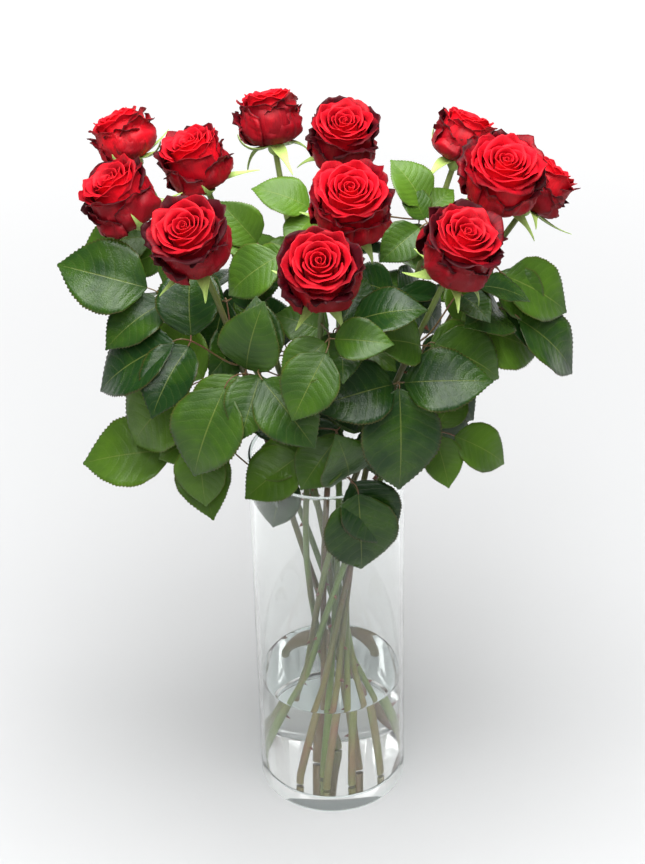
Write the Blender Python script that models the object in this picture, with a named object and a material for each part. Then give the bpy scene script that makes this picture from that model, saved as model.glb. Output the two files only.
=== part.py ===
"""Twelve long-stemmed red roses standing in a clear glass cylinder vase with water in it.

Metres, +Z up. The origin is the centre of the vase's underside, and the vase stands on z = 0.
The front of the bouquet faces -Y. The stems cross low in the vase as a spiral bundle:
each one runs from a foot on one side of the floor, past the waist, to a head on the other side.
"""
import math

import bmesh
import bpy
from mathutils import Matrix, Vector

# Vase and water
VASE_HEIGHT = 0.400
VASE_RADIUS = 0.075
WALL = 0.004
FLOOR = 0.015
EDGE = 0.0015
CORNER = 0.006
CORNER_MIDDLE = 0.3
WATER_LEVEL = 0.131
VASE_SIDES = 48
CHANNEL_SIDES = 8
CHANNEL_OVERRUN = 0.1
GAP = 0.0003

# Stems
WAIST_HEIGHT = 0.226
FOOT_HEIGHT = 0.0172
FOOT_RADIUS = 0.0034
NECK_RADIUS = 0.0027
STEM_SPANS = 8
STEM_SIDES = 10
WAIST_PULL = 0.38
HEAD_PULL = 0.30

# Heads
CALYX_HEIGHT = 0.011
SEPALS = 5
BLOOM_SIDES = 15
BLOOM_PROPORTION = 1.6
BLOOM_LOBES = 5
LOBE_DEPTH = 0.04

# Leaves
LEAF_THICKNESS = 0.0012
STALK = 0.0022
STALK_RISE = 0.5
STALK_PULL = 0.3
LEAF_WIDTH = 0.74
FRONT_TURN = 0.8
BACK_ROW = 0.1
AWAY_TURN = 0.3
SIDE_LEAFLET = 0.80
SIDE_ANGLE = math.radians(64)
SIDE_DROOP = 0.25

# Each rose: head centre, tilt from the vertical and the azimuth it leans to, bloom radius,
# then where its stem passes the waist and stands on the floor, each as (radius, azimuth).
ROSES = {
    "a": ((-0.180, 0.110, 0.686), 30, 145, 0.029, (0.018, 54), (0.050, 325)),
    "b": ((-0.112, 0.064, 0.682), 18, 180, 0.032, (0.007, 59), (0.020, 335)),
    "c": ((-0.179, 0.030, 0.665), 28, 185, 0.034, (0.018, 92), (0.054, 5)),
    "d": ((-0.112, -0.078, 0.680), 26, 240, 0.035, (0.018, 132), (0.052, 45)),
    "e": ((-0.044, 0.132, 0.690), 22, 110, 0.031, (0.019, 26), (0.046, 290)),
    "f": ((0.023, 0.096, 0.686), 18, 280, 0.033, (0.007, 340), (0.022, 250)),
    "g": ((0.026, -0.037, 0.690), 22, 275, 0.036, (0.007, 215), (0.018, 120)),
    "h": ((-0.001, -0.094, 0.655), 32, 268, 0.036, (0.018, 180), (0.048, 88)),
    "i": ((0.134, 0.096, 0.684), 26, 40, 0.028, (0.018, 344), (0.050, 262)),
    "j": ((0.164, 0.019, 0.682), 20, 290, 0.036, (0.018, 268), (0.054, 178)),
    "k": ((0.120, -0.077, 0.665), 24, 315, 0.036, (0.018, 230), (0.050, 140)),
    "l": ((0.206, 0.078, 0.640), 42, 22, 0.029, (0.018, 312), (0.050, 232)),
}

# Each leaf: its stem, the height of its joint, the base and the tip of its end leaflet,
# the roll of the leaf's plane in degrees and the number of leaflet pairs behind the end one.
LEAVES = (
    ("c", 0.530, (-0.158, -0.010, 0.594), (-0.240, 0.010, 0.609), -12, 1),
    ("d", 0.520, (-0.135, -0.050, 0.561), (-0.207, -0.040, 0.504), 12, 1),
    ("c", 0.450, (-0.124, -0.045, 0.507), (-0.180, -0.035, 0.439), 0, 1),
    ("c", 0.420, (-0.143, -0.030, 0.429), (-0.231, -0.020, 0.409), 0, 1),
    ("d", 0.375, (-0.115, -0.070, 0.465), (-0.112, -0.090, 0.405), 0, 1),
    ("h", 0.490, (-0.088, -0.105, 0.546), (-0.119, -0.125, 0.465), 0, 1),
    ("h", 0.500, (-0.054, -0.110, 0.557), (-0.009, -0.140, 0.503), 0, 1),
    ("g", 0.560, (-0.038, -0.020, 0.630), (-0.085, -0.020, 0.590), 0, 1),
    ("e", 0.600, (-0.009, 0.050, 0.639), (-0.062, 0.060, 0.655), 0, 1),
    ("h", 0.550, (0.026, -0.080, 0.597), (0.092, -0.088, 0.612), -24, 1),
    ("k", 0.500, (0.067, -0.090, 0.531), (0.066, -0.110, 0.433), 0, 1),
    ("h", 0.400, (0.029, -0.096, 0.420), (0.031, -0.094, 0.330), 0, 1),
    ("h", 0.450, (0.009, -0.080, 0.470), (-0.024, -0.100, 0.429), 0, 1),
    ("k", 0.440, (0.120, -0.050, 0.450), (0.168, -0.040, 0.410), 0, 1),
    ("k", 0.520, (0.100, -0.060, 0.559), (0.160, -0.050, 0.513), 0, 1),
    ("j", 0.500, (0.135, -0.020, 0.549), (0.200, 0.000, 0.507), 0, 1),
    ("l", 0.580, (0.167, 0.000, 0.592), (0.227, 0.010, 0.545), 0, 1),
    ("j", 0.540, (0.179, -0.020, 0.558), (0.233, -0.010, 0.490), -12, 1),
    ("f", 0.600, (0.095, 0.040, 0.644), (0.066, 0.060, 0.681), 0, 1),
    ("h", 0.580, (0.002, -0.120, 0.590), (-0.029, -0.145, 0.536), 0, 1),
    ("g", 0.496, (0.016, -0.031, 0.557), (0.065, -0.070, 0.537), 0, 1),
    ("h", 0.430, (-0.024, -0.070, 0.447), (-0.076, -0.085, 0.410), 0, 1),
    ("k", 0.555, (0.139, -0.040, 0.606), (0.186, -0.042, 0.590), -36, 1),
    ("i", 0.600, (0.090, 0.020, 0.632), (0.053, 0.000, 0.609), 0, 1),
    ("a", 0.520, (-0.155, 0.070, 0.602), (-0.225, 0.075, 0.582), 0, 1),
    ("b", 0.580, (-0.058, 0.040, 0.609), (-0.092, 0.050, 0.648), 0, 1),
    ("g", 0.440, (0.004, -0.060, 0.520), (0.028, -0.090, 0.486), -12, 1),
    ("b", 0.480, (-0.075, 0.010, 0.532), (-0.105, -0.035, 0.512), -36, 1),
    ("k", 0.420, (0.045, -0.060, 0.475), (0.055, -0.085, 0.425), 24, 1),
    ("h", 0.440, (-0.052, -0.030, 0.410), (-0.048, -0.034, 0.360), 36, 0),
    ("f", 0.520, (0.030, 0.150, 0.560), (0.050, 0.215, 0.530), 0, 2),
    ("e", 0.500, (-0.030, 0.150, 0.540), (-0.050, 0.220, 0.500), 12, 2),
    ("i", 0.500, (0.110, 0.120, 0.530), (0.150, 0.180, 0.490), 0, 2),
    ("a", 0.480, (-0.120, 0.110, 0.520), (-0.180, 0.150, 0.480), 0, 2),
)

# Places along the stalk, as shares of its length: its start, then where side leaflets may grow
STATIONS = (0.0, 0.35, 0.68)
LONG_STATIONS = (0.0, 0.42, 0.76)
AIM_STEP = 0.02

# Half width of a leaflet along its length, both as shares of the whole
LEAFLET_OUTLINE = ((0.08, 0.45), (0.36, 1.0), (0.72, 0.72), (1.0, 0.04))
LEAFLET_ARCH = 0.10

# Radius and height of a bloom, as shares of its own
BLOOM_OUTLINE = ((0.26, 0.0), (0.74, 0.12), (0.97, 0.42), (1.0, 0.80), (0.78, 1.0), (0.25, 0.94))

CALYX_OUTLINE = ((NECK_RADIUS, 0.0), (0.0056, 0.0025), (0.0068, 0.0065), (0.0086, CALYX_HEIGHT))

# Centre line and half width of a sepal: radius, height, half width
SEPAL_LINE = ((0.017, 0.0105, 0.0034), (0.027, 0.0060, 0.0024), (0.033, -0.0040, 0.0012),
              (0.034, -0.0140, 0.0005))
SEPAL_THICKNESS = 0.001


def plain_material(name, colour, roughness, transmission=0.0):
    """One plain surface."""
    material = bpy.data.materials.new(name)
    material.use_nodes = True
    shader = material.node_tree.nodes["Principled BSDF"]
    shader.inputs["Base Color"].default_value = (*colour, 1.0)
    shader.inputs["Roughness"].default_value = roughness
    shader.inputs["Transmission Weight"].default_value = transmission
    return material


def add_piece(name, bm, material):
    """Turn a closed shape's faces outward and put it into the scene under its own name."""
    bmesh.ops.recalc_face_normals(bm, faces=bm.faces)
    mesh = bpy.data.meshes.new(name)
    bm.to_mesh(mesh)
    bm.free()
    mesh.materials.append(material)
    mesh.shade_smooth()
    mesh.set_sharp_from_angle(angle=math.radians(35))
    piece = bpy.data.objects.new(name, mesh)
    bpy.context.scene.collection.objects.link(piece)
    return piece


def polar(radius, degrees, height):
    """A point at a radius and azimuth about the vase's axis."""
    angle = math.radians(degrees)
    return Vector((radius * math.cos(angle), radius * math.sin(angle), height))


def lean(tilt, azimuth):
    """Unit vector tilted from the vertical towards an azimuth."""
    angle = math.radians(tilt)
    return polar(math.sin(angle), azimuth, math.cos(angle))


def standing_on(point, axis):
    """Matrix that stands a shape's own +Z along an axis, with its origin on a point."""
    return Matrix.Translation(point) @ axis.to_track_quat("Z", "Y").to_matrix().to_4x4()


def cubic(points, t):
    """The point at t on the Bezier curve of four control points."""
    s = 1.0 - t
    shares = (s * s * s, 3 * s * s * t, 3 * s * t * t, t * t * t)
    return sum((point * share for point, share in zip(points, shares)), Vector())


def skin(bm, rings, openings=()):
    """Join each ring of vertices to the next with quads, and leave out the listed openings."""
    for band, (lower, upper) in enumerate(zip(rings, rings[1:])):
        for k in range(len(lower)):
            m = (k + 1) % len(lower)
            if (band, k) not in openings:
                bm.faces.new((lower[k], lower[m], upper[m], upper[k]))


def turned_rings(bm, outline, sides, lobes=0, depth=0.0):
    """Rings of an outline (radius, height) turned about Z, scalloped into shallow lobes."""
    rings = []
    for radius, height in outline:
        ring = []
        for k in range(sides):
            angle = 2 * math.pi * k / sides
            reach = radius * (1 + depth * math.cos(lobes * angle))
            ring.append(bm.verts.new((reach * math.cos(angle), reach * math.sin(angle), height)))
        rings.append(ring)
    return rings


def flat_ring(bm, centre, across, through):
    """Four corners of a flat section, from its half width and half thickness vectors."""
    corners = (centre - across - through, centre + across - through,
               centre + across + through, centre - across + through)
    return [bm.verts.new(corner) for corner in corners]


def vase():
    """Straight glass cylinder with a thick floor, a rounded inner corner and a rounded rim."""
    inside = VASE_RADIUS - WALL
    outline = (
        (VASE_RADIUS - EDGE, 0.0),
        (VASE_RADIUS, EDGE),
        (VASE_RADIUS, VASE_HEIGHT - EDGE),
        (VASE_RADIUS - EDGE, VASE_HEIGHT),
        (inside + EDGE, VASE_HEIGHT),
        (inside, VASE_HEIGHT - EDGE),
        (inside, FLOOR + CORNER),
        (inside - CORNER_MIDDLE * CORNER, FLOOR + CORNER_MIDDLE * CORNER),
        (inside - CORNER, FLOOR),
    )
    bm = bmesh.new()
    rings = turned_rings(bm, outline, VASE_SIDES)
    skin(bm, rings)
    bm.faces.new(rings[0])
    bm.faces.new(rings[-1])
    add_piece("vase", bm, plain_material("vase_glass", (0.92, 0.96, 0.95), 0.02, 1.0))


def water(stem_lines):
    """Water up to its level, a hair clear of the glass, with a channel round every stem."""
    inside = VASE_RADIUS - WALL - GAP
    bottom = FLOOR + GAP
    outline = (
        (inside - CORNER, bottom),
        (inside - CORNER_MIDDLE * CORNER, bottom + CORNER_MIDDLE * CORNER),
        (inside, bottom + CORNER),
        (inside, WATER_LEVEL),
    )
    bm = bmesh.new()
    rings = turned_rings(bm, outline, VASE_SIDES)
    skin(bm, rings)
    bm.faces.new(rings[0])
    bm.faces.new(rings[-1])
    body = add_piece("water", bm, plain_material("water_clear", (0.9, 0.96, 0.94), 0.0, 1.0))

    channel_radius = (FOOT_RADIUS + 1.5 * GAP) / math.cos(math.pi / CHANNEL_SIDES)
    bm = bmesh.new()
    for foot, upper in stem_lines.values():
        run = upper[0] - foot
        low = foot - run * CHANNEL_OVERRUN
        placed = standing_on((low + upper[0]) / 2, run.normalized())
        bmesh.ops.create_cone(bm, cap_ends=True, segments=CHANNEL_SIDES, radius1=channel_radius,
                              radius2=channel_radius, depth=(upper[0] - low).length, matrix=placed)
    channels = add_piece("channels", bm, body.data.materials[0])
    channels.hide_render = True
    channels.display_type = "WIRE"
    cut = body.modifiers.new("stem channels", "BOOLEAN")
    cut.operation = "DIFFERENCE"
    cut.solver = "EXACT"
    cut.object = channels


def stem_line(rose):
    """A stem's line: the foot, and the cubic from the waist up to the head that carries on
    from the straight run between them."""
    head, tilt, azimuth, radius, waist, foot = ROSES[rose]
    axis = lean(tilt, azimuth)
    top = Vector(head) - axis * (radius * BLOOM_PROPORTION / 2 + CALYX_HEIGHT + GAP)
    low = polar(*foot, FOOT_HEIGHT)
    middle = polar(*waist, WAIST_HEIGHT)
    reach = (top - middle).length
    leaving = middle + (middle - low).normalized() * reach * WAIST_PULL
    arriving = top - axis * reach * HEAD_PULL
    return low, (middle, leaving, arriving, top)


def stem(rose, line, material):
    """A round stem that tapers from its foot to its neck, then swells into the green cup
    under the bloom, with five sepals that bend outward and down."""
    foot, upper = line
    points = [foot] + [cubic(upper, k / STEM_SPANS) for k in range(STEM_SPANS + 1)]
    tilt, azimuth = ROSES[rose][1:3]
    way = lean(tilt, azimuth)
    turn = way.to_track_quat("Z", "Y")
    at_head = standing_on(points[-1], way)
    bm = bmesh.new()
    cup = turned_rings(bm, CALYX_OUTLINE, STEM_SIDES)
    for ring in cup:
        bmesh.ops.transform(bm, matrix=at_head, verts=ring)
    shaft = []
    for k in range(len(points) - 2, -1, -1):
        ahead = (points[k + 1] - points[max(k - 1, 0)]).normalized()
        turn = way.rotation_difference(ahead) @ turn
        way = ahead
        radius = FOOT_RADIUS + (NECK_RADIUS - FOOT_RADIUS) * k / (len(points) - 1)
        ring = turned_rings(bm, [(radius, 0.0)], STEM_SIDES)[0]
        placed = Matrix.Translation(points[k]) @ turn.to_matrix().to_4x4()
        bmesh.ops.transform(bm, matrix=placed, verts=ring)
        shaft.insert(0, ring)
    rings = shaft + cup
    top_band = len(rings) - 2
    sepal_sides = range(0, STEM_SIDES, STEM_SIDES // SEPALS)
    skin(bm, rings, [(top_band, k) for k in sepal_sides])
    bm.faces.new(rings[0])
    bm.faces.new(rings[-1])
    for k in sepal_sides:
        sepal(bm, rings[-2], rings[-1], k, at_head)
    add_piece("stem_" + rose, bm, material)


def sepal(bm, lower, upper, k, placed):
    """One sepal grown out of a side of the cup, which stands as placed says."""
    m = (k + 1) % STEM_SIDES
    angle = 2 * math.pi * (k + 0.5) / STEM_SIDES
    outward = Vector((math.cos(angle), math.sin(angle), 0.0))
    sideways = Vector((-math.sin(angle), math.cos(angle), 0.0))
    rings = [[lower[k], lower[m], upper[m], upper[k]]]
    radius, height = CALYX_OUTLINE[-1]
    for next_radius, next_height, half_width in SEPAL_LINE:
        run = outward * (next_radius - radius) + Vector((0.0, 0.0, next_height - height))
        through = run.normalized().cross(sideways) * (SEPAL_THICKNESS / 2)
        centre = outward * next_radius + Vector((0.0, 0.0, next_height))
        ring = flat_ring(bm, centre, sideways * half_width, through)
        bmesh.ops.transform(bm, matrix=placed, verts=ring)
        rings.append(ring)
        radius, height = next_radius, next_height
    skin(bm, rings)
    bm.faces.new(rings[-1])


def bloom(rose, material):
    """The flower's solid shape: a cup with five shallow lobes and a dished top."""
    head, tilt, azimuth, radius = ROSES[rose][:4]
    axis = lean(tilt, azimuth)
    height = radius * BLOOM_PROPORTION
    bm = bmesh.new()
    outline = [(share * radius, level * height) for share, level in BLOOM_OUTLINE]
    rings = turned_rings(bm, outline, BLOOM_SIDES, BLOOM_LOBES, LOBE_DEPTH)
    skin(bm, rings)
    bm.faces.new(rings[0])
    bm.faces.new(rings[-1])
    base = Vector(head) - axis * height / 2
    bmesh.ops.transform(bm, matrix=standing_on(base, axis), verts=bm.verts)
    add_piece("bloom_" + rose, bm, material)


def point_at_height(upper, height):
    """The share of a stem's upper line, and the point on it, that lie at a height."""
    low, high = 0.0, 1.0
    for _ in range(30):
        middle = (low + high) / 2
        if cubic(upper, middle).z < height:
            low = middle
        else:
            high = middle
    return low, cubic(upper, low)


def across_line(direction, near):
    """The unit vector at right angles to a direction that lies nearest to another vector."""
    return (near - direction * near.dot(direction)).normalized()


def leaflet_rings(bm, base, tip, normal):
    """Flat sections of an arched oval leaflet from its base to its tip."""
    along = tip - base
    length = along.length
    across = along.normalized().cross(normal)
    rings = []
    for share, width in LEAFLET_OUTLINE:
        centre = base + along * share + normal * (LEAFLET_ARCH * length * 4 * share * (1 - share))
        half_width = across * (LEAF_WIDTH * length / 2 * width)
        rings.append(flat_ring(bm, centre, half_width, normal * (LEAF_THICKNESS / 2)))
    return rings


def leaf(name, row, stem_lines, material):
    """A rose leaf in one piece: the stalk, an end leaflet and the side leaflets in pairs."""
    rose, height, base, tip, roll, pairs = row
    base, tip = Vector(base), Vector(tip)
    upper = stem_lines[rose][1]
    joint = point_at_height(upper, height)[1]
    along = (tip - base).normalized()
    away = Vector((tip.x, tip.y, 0.0)).normalized()
    facing = Vector((0.0, -FRONT_TURN if tip.y < BACK_ROW else 0.0, 1.0)) + away * AWAY_TURN
    normal = across_line(along, facing)
    normal = Matrix.Rotation(math.radians(roll), 3, along) @ normal
    outward = base - joint
    outward.z = 0.0
    outward.normalize()
    start = joint + outward * (FOOT_RADIUS + STALK / 2 + 2 * GAP)
    reach = (base - start).length
    rising = (outward + Vector((0.0, 0.0, STALK_RISE))).normalized()
    pull = reach * STALK_PULL
    stalk = (start, start + rising * pull, base - along * pull, base)

    stations = LONG_STATIONS if pairs == 2 else STATIONS
    joints = stations[len(stations) - pairs:]
    shares = sorted(set(stations) | {share + STALK / reach for share in joints}) + [1.0]
    bm = bmesh.new()
    rings = []
    frames = []
    for share in shares:
        point = cubic(stalk, share)
        further = cubic(stalk, min(share + AIM_STEP, 1.0))
        ahead = (further - cubic(stalk, max(share - AIM_STEP, 0.0))).normalized()
        lift = across_line(ahead, normal)
        side = ahead.cross(lift)
        frames.append((point, ahead, lift, side))
        rings.append(flat_ring(bm, point, side * STALK / 2, lift * STALK / 2))
    grown = [shares.index(share) for share in joints]
    rings += leaflet_rings(bm, base, tip, normal)
    skin(bm, rings, [(band, k) for band in grown for k in (1, 3)])
    bm.faces.new(rings[0])
    bm.faces.new(rings[-1])

    length = (tip - base).length * SIDE_LEAFLET
    for band in grown:
        back, front = rings[band], rings[band + 1]
        point, ahead, lift, side = frames[band]
        point = point + ahead * STALK / 2
        for hand, socket in ((1, (front[1], back[1], back[2], front[2])),
                             (-1, (back[0], front[0], front[3], back[3]))):
            way = ahead * math.cos(SIDE_ANGLE) + side * hand * math.sin(SIDE_ANGLE)
            way = (way - Vector((0.0, 0.0, SIDE_DROOP))).normalized()
            foot = point + way * STALK * 2
            blade = leaflet_rings(bm, foot, foot + way * length, across_line(way, facing))
            skin(bm, [list(socket)] + blade)
            bm.faces.new(blade[-1])
    add_piece(name, bm, material)


def main():
    for piece in list(bpy.data.objects):
        bpy.data.objects.remove(piece, do_unlink=True)
    stem_green = plain_material("stem_green", (0.16, 0.26, 0.07), 0.5)
    petal_red = plain_material("petal_red", (0.62, 0.01, 0.02), 0.6)
    leaf_green = plain_material("leaf_green", (0.04, 0.14, 0.03), 0.35)

    stem_lines = {rose: stem_line(rose) for rose in ROSES}
    vase()
    water(stem_lines)
    for rose in ROSES:
        stem(rose, stem_lines[rose], stem_green)
        bloom(rose, petal_red)
    for number, row in enumerate(LEAVES, start=1):
        leaf(f"leaf_{number:02d}", row, stem_lines, leaf_green)


main()
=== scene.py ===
"""Roses in a vase: twelve red roses with their leaves in a clear glass cylinder of water."""
import math
import random

import bpy
import numpy as np
from mathutils import Matrix, Vector


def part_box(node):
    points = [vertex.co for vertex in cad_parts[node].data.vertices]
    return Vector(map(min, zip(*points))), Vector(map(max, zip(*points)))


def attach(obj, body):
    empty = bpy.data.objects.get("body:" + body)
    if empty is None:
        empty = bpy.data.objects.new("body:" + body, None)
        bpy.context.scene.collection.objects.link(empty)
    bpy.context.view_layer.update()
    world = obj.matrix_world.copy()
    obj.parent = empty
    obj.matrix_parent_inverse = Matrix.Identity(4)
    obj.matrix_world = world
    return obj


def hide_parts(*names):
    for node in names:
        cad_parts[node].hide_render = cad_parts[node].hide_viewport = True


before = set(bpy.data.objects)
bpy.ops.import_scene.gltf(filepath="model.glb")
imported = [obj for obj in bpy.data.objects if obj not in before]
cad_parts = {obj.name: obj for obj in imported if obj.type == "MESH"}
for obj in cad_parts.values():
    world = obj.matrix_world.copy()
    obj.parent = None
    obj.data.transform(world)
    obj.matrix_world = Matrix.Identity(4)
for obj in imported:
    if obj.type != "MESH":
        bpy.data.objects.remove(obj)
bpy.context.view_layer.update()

ROSES = "abcdefghijkl"

# The first seed of each kind of piece, and the whole turn that random turns are drawn from
SEEDS = {"bloom": 100, "stem": 200, "leaf": 300, "inner_leaf": 400}
WHOLE_TURN = 6.28

# The vase: its wall and floor, how far its inner corner and its edges are rounded, and the heights
# between which a painted glow shows near its rim, standing in for light that runs inside the wall, and the
# glow's colour
VASE_SIDES = 160
VASE_WALL = 0.004
VASE_FLOOR = 0.015
VASE_CORNER = 0.006
VASE_EDGE = 0.0015
PAINTED_GLOW_HEIGHTS = (0.22, 0.28)
PAINTED_RIM_GLOW = (0.21, 0.23, 0.225)

# The water: its gap from the glass, its climb up the glass, and the steps in and down from there
WATER_GAP = 0.0001
WATER_CLIMB = 0.0018
WATER_EDGE = ((0.0005, 0.0007), (0.0007, 0.0005), (0.0010, 0.0003), (0.0018, 0.0002), (0.003, 0.0001))

# Petals of one bloom, with the loose outer ones after them, and the turn from each to the next
PETALS = 25
GUARDS = 5
PETAL_TURN = math.radians(137.5)
PETAL_ACROSS = 18
PETAL_ALONG = 22
PETAL_THICKNESS = 0.00035

# Stems and the green cup under a bloom, with the rise and the widening of each of the cup's rings
CUP_HEIGHT = 0.011
CUP_RINGS = ((0.0014, 1.45), (0.0018, 1.45), (0.0024, 1.18), (0.0026, 1.00), (0.0024, 1.15))
FOOT_RADIUS = 0.0034
NECK_RADIUS = 0.0027
STEM_STEP = 0.005
STEM_POINTS = 60
SEPALS = 5
SEPAL_THICKNESS = 0.0005

# Thorns of one stem: how many and between which heights, the upper ones up to a gap below the neck
UPPER_THORNS = 9
UPPER_THORNS_FROM = 0.24
LOWER_THORNS = 2
LOWER_THORNS_FROM_TO = (0.05, 0.2)
BARE_NECK = 0.05
BARE_JOINT = 0.012

# Heights between which a stem turns paler towards its bottom, below the water, and pale because it is
# young
BELOW_WATER_PALE = (0.10, 0.20)
YOUNG_STEM = (0.52, 0.66)

# Leaves: the stalk in the CAD and as it is made here, the blade, and the lie of the side leaflets
STALK = 0.0022
STALK_SHOWN = 0.0020
STALK_POINTS = 15
CLEARANCE = 0.0003
LEAF_WIDTH = 0.78
LEAF_ARCH = 0.10
LEAF_THICKNESS = 0.0003
VEIN_PAIRS = 9.0
FRONT_TURN = 0.8
SIDE_LEAFLET = 0.80
SIDE_ANGLE = math.radians(64)
SIDE_DROOP = 0.25
SIDE_BEHIND = 0.14
BLADE_ACROSS = 10
BLADE_ALONG = 54

# How brown each stem is, from green at 0
STEM_BLUSH = dict(zip(ROSES, (0.1, 0.5, 0.0, 0.8, 0.3, 0.0, 0.9, 0.2, 0.6, 0.0, 0.4, 0.7)))

# Blooms that are brighter (below 0.5) or deeper red than the rest
BLOOM_DEPTH = {"a": -2.0, "b": -0.3, "d": 1.0, "e": -0.3, "g": -1.0, "i": -1.0, "j": -1.5, "k": 0.7}

# Blooms that aren't fully open
OPENNESS = {"a": 0.55, "e": 0.6, "i": 0.55, "l": 0.8, "b": 0.8}

# Blooms with one petal that hangs, and the way it points
HANGING = {"c": (-0.9, -0.4, -0.3)}

# The camera: its place, its lens in millimetres, its tilt down in degrees and its roll in radians
CAMERA_PLACE = (-0.00252, -1.78897, 1.66335)
CAMERA_LENS = 95.5
CAMERA_DOWN = 34.72
CAMERA_ROLL = -0.0246

# The studio floor: its size, its level just under the vase, how it glows near the vase and far away,
# and the distances between which one glow turns into the other
FLOOR_SIZE = 80.0
FLOOR_LEVEL = -0.0005
NEAR_GLOW = (0.04, 0.04, 0.04)
FAR_GLOW = (0.94, 0.94, 0.94)
GLOW_FROM_TO = (0.25, 2.5)

# Strength of the floor's glow and of the sky as soft light on the bouquet, and of both through glass
FLOOR_FILL = 0.25
SKY_FILL = 0.16
THROUGH_GLASS = 0.76

# Leaves whose tone isn't left to chance, from light at 0 to dark at 1
LEAF_TONES = {"leaf_01": 0.6, "leaf_04": 0.0, "leaf_10": 0.8, "leaf_11": 0.75, "leaf_12": 0.75,
              "leaf_22": 0.3}

# Each leaf: its stem, the height of its joint, the base and the tip of its end leaflet,
# the roll of the leaf's plane in degrees and the number of leaflet pairs behind the end one.
LEAVES = (
    ("c", 0.530, (-0.158, -0.010, 0.594), (-0.240, 0.010, 0.609), -12, 1),
    ("d", 0.520, (-0.135, -0.050, 0.561), (-0.207, -0.040, 0.504), 12, 1),
    ("c", 0.450, (-0.124, -0.045, 0.507), (-0.180, -0.035, 0.439), 0, 1),
    ("c", 0.420, (-0.143, -0.030, 0.429), (-0.231, -0.020, 0.409), 0, 1),
    ("d", 0.375, (-0.115, -0.070, 0.465), (-0.112, -0.090, 0.405), 0, 1),
    ("h", 0.490, (-0.088, -0.105, 0.546), (-0.119, -0.125, 0.465), 0, 1),
    ("h", 0.500, (-0.054, -0.110, 0.557), (-0.009, -0.140, 0.503), 0, 1),
    ("g", 0.560, (-0.038, -0.020, 0.630), (-0.085, -0.020, 0.590), 0, 1),
    ("e", 0.600, (-0.009, 0.050, 0.639), (-0.062, 0.060, 0.655), 0, 1),
    ("h", 0.550, (0.026, -0.080, 0.597), (0.092, -0.088, 0.612), -24, 1),
    ("k", 0.500, (0.067, -0.090, 0.531), (0.066, -0.110, 0.433), 0, 1),
    ("h", 0.400, (0.029, -0.096, 0.420), (0.031, -0.094, 0.330), 0, 1),
    ("h", 0.450, (0.009, -0.080, 0.470), (-0.024, -0.100, 0.429), 0, 1),
    ("k", 0.440, (0.120, -0.050, 0.450), (0.168, -0.040, 0.410), 0, 1),
    ("k", 0.520, (0.100, -0.060, 0.559), (0.160, -0.050, 0.513), 0, 1),
    ("j", 0.500, (0.135, -0.020, 0.549), (0.200, 0.000, 0.507), 0, 1),
    ("l", 0.580, (0.167, 0.000, 0.592), (0.227, 0.010, 0.545), 0, 1),
    ("j", 0.540, (0.179, -0.020, 0.558), (0.233, -0.010, 0.490), -12, 1),
    ("f", 0.600, (0.095, 0.040, 0.644), (0.066, 0.060, 0.681), 0, 1),
    ("h", 0.580, (0.002, -0.120, 0.590), (-0.029, -0.145, 0.536), 0, 1),
    ("g", 0.496, (0.016, -0.031, 0.557), (0.065, -0.070, 0.537), 0, 1),
    ("h", 0.430, (-0.024, -0.070, 0.447), (-0.076, -0.085, 0.410), 0, 1),
    ("k", 0.555, (0.139, -0.040, 0.606), (0.186, -0.042, 0.590), -36, 1),
    ("i", 0.600, (0.090, 0.020, 0.632), (0.053, 0.000, 0.609), 0, 1),
    ("a", 0.520, (-0.155, 0.070, 0.602), (-0.225, 0.075, 0.582), 0, 1),
    ("b", 0.580, (-0.058, 0.040, 0.609), (-0.092, 0.050, 0.648), 0, 1),
    ("g", 0.440, (0.004, -0.060, 0.520), (0.028, -0.090, 0.486), -12, 1),
    ("b", 0.480, (-0.075, 0.010, 0.532), (-0.105, -0.035, 0.512), -36, 1),
    ("k", 0.420, (0.045, -0.060, 0.475), (0.055, -0.085, 0.425), 24, 1),
    ("h", 0.440, (-0.052, -0.030, 0.410), (-0.048, -0.034, 0.360), 36, 0),
    ("f", 0.520, (0.030, 0.150, 0.560), (0.050, 0.215, 0.530), 0, 2),
    ("e", 0.500, (-0.030, 0.150, 0.540), (-0.050, 0.220, 0.500), 12, 2),
    ("i", 0.500, (0.110, 0.120, 0.530), (0.150, 0.180, 0.490), 0, 2),
    ("a", 0.480, (-0.120, 0.110, 0.520), (-0.180, 0.150, 0.480), 0, 2),
)

# Small leaves deep among the stems, in the same terms; they take the darkest tone, as painted shade
INNER_LEAVES = (
    ("d", 0.361, (-0.036, -0.015, 0.388), (-0.052, -0.030, 0.335), 0, 0),
    ("h", 0.423, (-0.023, -0.030, 0.453), (0.017, -0.060, 0.422), 0, 1),
    ("k", 0.555, (0.071, -0.010, 0.585), (0.110, 0.000, 0.535), 0, 1),
    ("j", 0.442, (0.096, 0.020, 0.472), (0.145, 0.030, 0.413), 0, 1),
    ("b", 0.486, (-0.035, 0.010, 0.516), (-0.055, 0.030, 0.562), 0, 1),
    ("d", 0.543, (-0.089, 0.000, 0.573), (-0.104, -0.010, 0.498), 0, 1),
    ("j", 0.425, (0.095, 0.000, 0.440), (0.122, 0.010, 0.366), 0, 0),
    ("g", 0.447, (0.006, 0.000, 0.477), (-0.005, -0.020, 0.428), 0, 1),
)


# ------------------------ shaping

def all_off():
    """Leave nothing selected."""
    bpy.ops.object.select_all(action="DESELECT")


def pick(*pieces):
    """Select these pieces only, the first one active."""
    all_off()
    for piece in pieces:
        piece.select_set(True)
    bpy.context.view_layer.objects.active = pieces[0]


def flat_grid(name, across, along):
    """A flat grid from -1 to 1 each way, for a thin part to be shaped from."""
    all_off()
    bpy.ops.mesh.primitive_grid_add(x_subdivisions=across, y_subdivisions=along, size=2.0)
    grid = bpy.context.active_object
    grid.name = name
    return grid


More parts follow.
